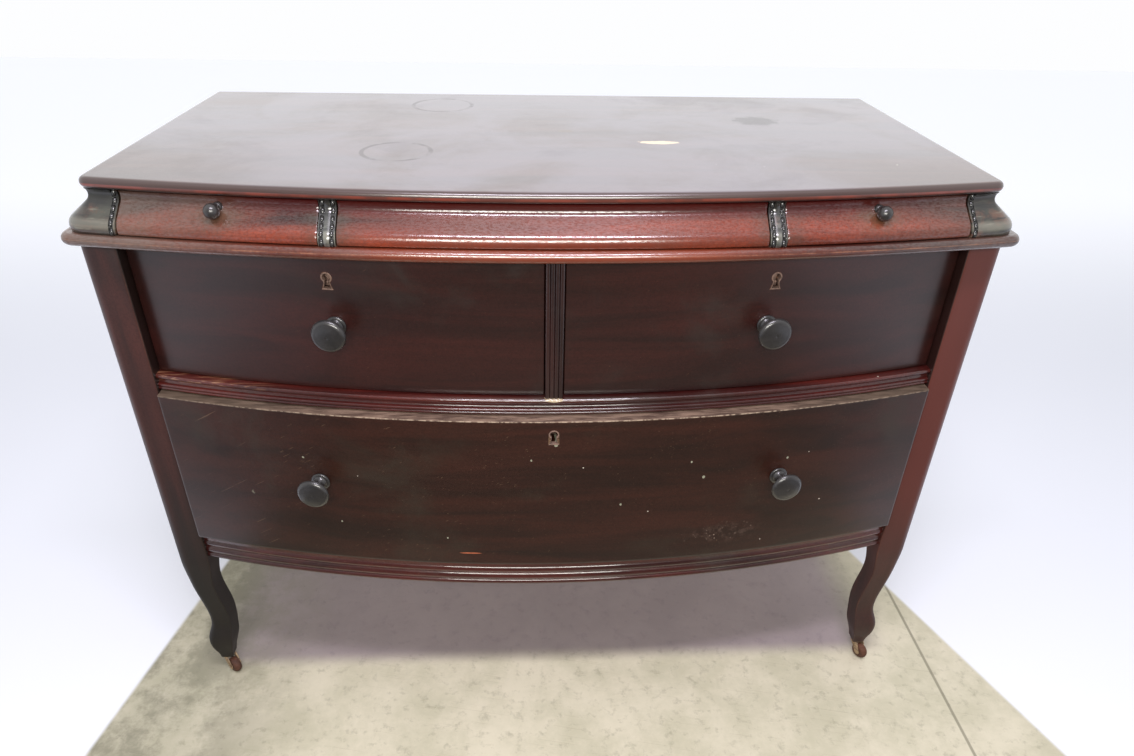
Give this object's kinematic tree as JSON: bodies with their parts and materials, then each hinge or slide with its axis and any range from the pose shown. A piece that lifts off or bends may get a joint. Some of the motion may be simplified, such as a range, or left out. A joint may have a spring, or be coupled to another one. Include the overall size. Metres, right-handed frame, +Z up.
{
  "type": "bow front chest of drawers",
  "caption": "Bow front chest of drawers on cabriole legs with casters: ogee frieze drawers with beaded dividers above a row of two drawers and a long drawer with turned knobs.",
  "frame": {"origin": "on the floor under the middle of the overall box", "axes": "X to the right seen from the front, Y towards the back, Z up"},
  "size_m": [1.178, 0.585, 0.877],
  "materials": {
    "mahogany_top": "polished, worn",
    "mahogany_frieze": "polished, worn",
    "mahogany_case": "polished, worn",
    "mahogany_dark": "polished, worn",
    "ebonised_wood": "satin",
    "secondary_wood": "planed, unfinished",
    "aged_brass": "aged",
    "dark_iron": "dull",
    "steel_bolt": "brushed",
    "wheel_wood": "turned, worn"
  },
  "bodies": {
    "carcass": {"back_panel": "secondary_wood", "back_rails": "secondary_wood", "bottom_rail": "mahogany_case", "caster_sockets": "dark_iron", "corner_block_left": "ebonised_wood", "corner_block_right": "ebonised_wood", "drawer_guides": "secondary_wood", "drawer_runners": "secondary_wood", "dust_panels": "secondary_wood", "frieze_dividers": "ebonised_wood", "frieze_runners": "secondary_wood", "frieze_side_left": "mahogany_frieze", "frieze_side_right": "mahogany_frieze", "front_post_left": "mahogany_case", "front_post_right": "mahogany_case", "mid_rail": "mahogany_case", "rear_posts": "mahogany_case", "side_panels": "mahogany_case", "side_rails": "mahogany_case", "top_board": "mahogany_top", "top_cleats": "secondary_wood", "upper_divider": "mahogany_case", "waist_moulding_left": "mahogany_case", "waist_moulding_right": "mahogany_case", "waist_rail": "mahogany_case"},
    "frieze_drawer_left": {"frieze_drawer_left_front": "mahogany_frieze", "frieze_drawer_left_box": "secondary_wood", "frieze_knob_left": "ebonised_wood"},
    "frieze_drawer_centre": {"frieze_drawer_centre_front": "mahogany_frieze", "frieze_drawer_centre_box": "secondary_wood"},
    "frieze_drawer_right": {"frieze_drawer_right_front": "mahogany_frieze", "frieze_drawer_right_box": "secondary_wood", "frieze_knob_right": "ebonised_wood"},
    "upper_drawer_left": {"upper_drawer_left_front": "mahogany_dark", "upper_drawer_left_box": "secondary_wood", "upper_knob_left": "ebonised_wood", "upper_left_lock": "aged_brass", "upper_left_escutcheon": "aged_brass"},
    "upper_drawer_right": {"upper_drawer_right_front": "mahogany_dark", "upper_drawer_right_box": "secondary_wood", "upper_knob_right": "ebonised_wood", "upper_right_lock": "aged_brass", "upper_right_escutcheon": "aged_brass"},
    "lower_drawer": {"lower_drawer_front": "mahogany_dark", "lower_drawer_box": "secondary_wood", "lower_knobs": "ebonised_wood", "lower_lock": "aged_brass", "lower_escutcheon": "aged_brass"},
    "upper_left_bolt": {"upper_left_bolt": "steel_bolt"},
    "upper_right_bolt": {"upper_right_bolt": "steel_bolt"},
    "lower_bolt": {"lower_bolt": "steel_bolt"},
    "caster_front_left": {"caster_yoke_front_left": "dark_iron"},
    "wheel_front_left": {"caster_wheel_front_left": "wheel_wood"},
    "caster_front_right": {"caster_yoke_front_right": "dark_iron"},
    "wheel_front_right": {"caster_wheel_front_right": "wheel_wood"},
    "caster_rear_left": {"caster_yoke_rear_left": "dark_iron"},
    "wheel_rear_left": {"caster_wheel_rear_left": "wheel_wood"},
    "caster_rear_right": {"caster_yoke_rear_right": "dark_iron"},
    "wheel_rear_right": {"caster_wheel_rear_right": "wheel_wood"}
  },
  "joints": [
    {"name": "frieze_drawer_left_slide", "type": "slide", "parent": "carcass", "child": "frieze_drawer_left", "axis": [0, -1, 0], "range_m": [0, 0.26]},
    {"name": "frieze_drawer_centre_slide", "type": "slide", "parent": "carcass", "child": "frieze_drawer_centre", "axis": [0, -1, 0], "range_m": [0, 0.26]},
    {"name": "frieze_drawer_right_slide", "type": "slide", "parent": "carcass", "child": "frieze_drawer_right", "axis": [0, -1, 0], "range_m": [0, 0.26]},
    {"name": "upper_drawer_left_slide", "type": "slide", "parent": "carcass", "child": "upper_drawer_left", "axis": [0, -1, 0], "range_m": [0, 0.3]},
    {"name": "upper_drawer_right_slide", "type": "slide", "parent": "carcass", "child": "upper_drawer_right", "axis": [0, -1, 0], "range_m": [0, 0.3]},
    {"name": "lower_drawer_slide", "type": "slide", "parent": "carcass", "child": "lower_drawer", "axis": [0, -1, 0], "range_m": [0, 0.3]},
    {"name": "upper_left_bolt_throw", "type": "slide", "parent": "upper_drawer_left", "child": "upper_left_bolt", "axis": [0, 0, 1], "range_m": [0, 0.008]},
    {"name": "upper_right_bolt_throw", "type": "slide", "parent": "upper_drawer_right", "child": "upper_right_bolt", "axis": [0, 0, 1], "range_m": [0, 0.008]},
    {"name": "lower_bolt_throw", "type": "slide", "parent": "lower_drawer", "child": "lower_bolt", "axis": [0, 0, 1], "range_m": [0, 0.008]},
    {"name": "caster_front_left_swivel", "type": "hinge", "parent": "carcass", "child": "caster_front_left", "pos_m": [-0.557, -0.17648, 0.03], "axis": [0, 0, 1], "continuous": true},
    {"name": "wheel_front_left_spin", "type": "hinge", "parent": "caster_front_left", "child": "wheel_front_left", "pos_m": [-0.54781, -0.18419, 0.014], "axis": [0.6428, 0.766, 0], "continuous": true},
    {"name": "caster_front_right_swivel", "type": "hinge", "parent": "carcass", "child": "caster_front_right", "pos_m": [0.557, -0.17648, 0.03], "axis": [0, 0, 1], "continuous": true},
    {"name": "wheel_front_right_spin", "type": "hinge", "parent": "caster_front_right", "child": "wheel_front_right", "pos_m": [0.563, -0.18687, 0.014], "axis": [0.866, 0.5, 0], "continuous": true},
    {"name": "caster_rear_left_swivel", "type": "hinge", "parent": "carcass", "child": "caster_rear_left", "pos_m": [-0.557, 0.26352, 0.03], "axis": [0, 0, 1], "continuous": true},
    {"name": "wheel_rear_left_spin", "type": "hinge", "parent": "caster_rear_left", "child": "wheel_rear_left", "pos_m": [-0.55389, 0.25193, 0.014], "axis": [0.9659, 0.2588, 0], "continuous": true},
    {"name": "caster_rear_right_swivel", "type": "hinge", "parent": "carcass", "child": "caster_rear_right", "pos_m": [0.557, 0.26352, 0.03], "axis": [0, 0, 1], "continuous": true},
    {"name": "wheel_rear_right_spin", "type": "hinge", "parent": "caster_rear_right", "child": "wheel_rear_right", "pos_m": [0.5529, 0.25224, 0.014], "axis": [0.9397, -0.342, 0], "continuous": true}
  ]
}
